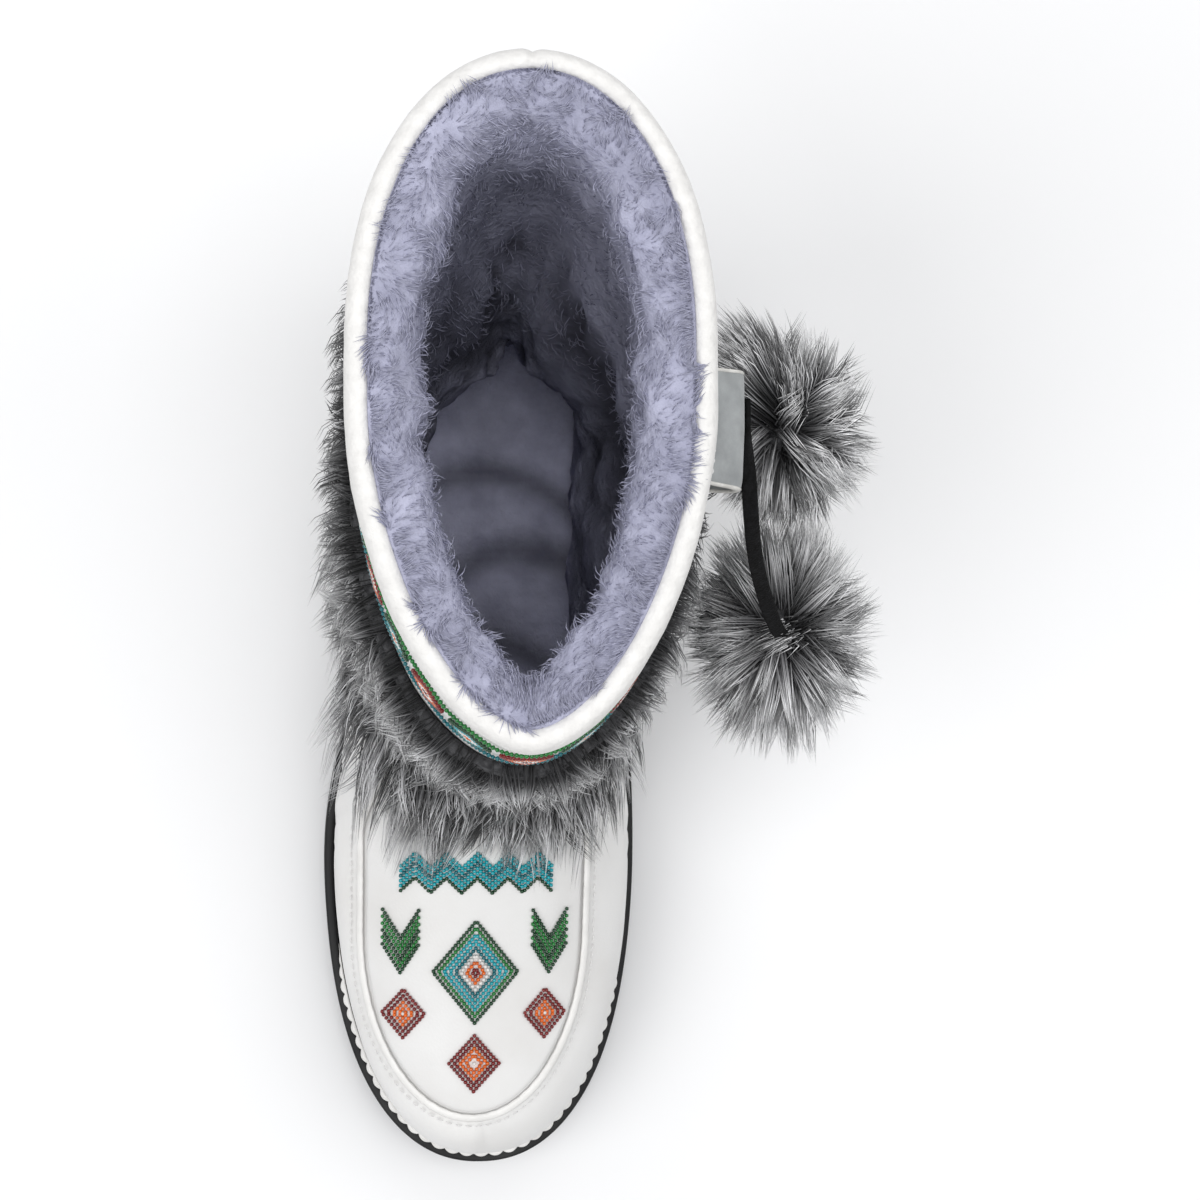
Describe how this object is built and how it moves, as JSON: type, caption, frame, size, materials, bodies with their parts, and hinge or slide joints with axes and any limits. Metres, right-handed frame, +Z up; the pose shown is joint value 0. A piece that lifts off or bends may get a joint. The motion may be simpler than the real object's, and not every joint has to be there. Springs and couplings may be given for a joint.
{
  "type": "mukluk boot",
  "caption": "Left mukluk boot with a hollow leather foot and shaft, deep fur cuff, padded collar, rubber cup sole and fur pompoms on a flat cord.",
  "frame": {"origin": "on the floor under the middle of the heel", "axes": "+Z up, the toe points to -Y and the outer side of the left foot to +X"},
  "size_m": [0.1479, 0.297, 0.2548],
  "materials": {
    "rubber": "matt moulded",
    "leather": "smooth, soft sheen",
    "seam": "piped and stitched",
    "binding": "felted roll",
    "fleece": "short curly pile",
    "fur": "long soft pile",
    "loop": "suede",
    "cord": "flat woven",
    "beads": "glossy seed beads in several colours"
  },
  "bodies": {
    "root": {"outsole": "rubber", "insole": "fleece", "upper": "leather", "apron": "leather", "apron_seam": "seam", "welt": "seam", "collar_binding": "binding", "fur_cuff": "fur", "keeper_loop": "loop", "cord_front": "cord", "cord_rear": "cord", "pompom_front": "fur", "pompom_rear": "fur"}
  },
  "joints": []
}
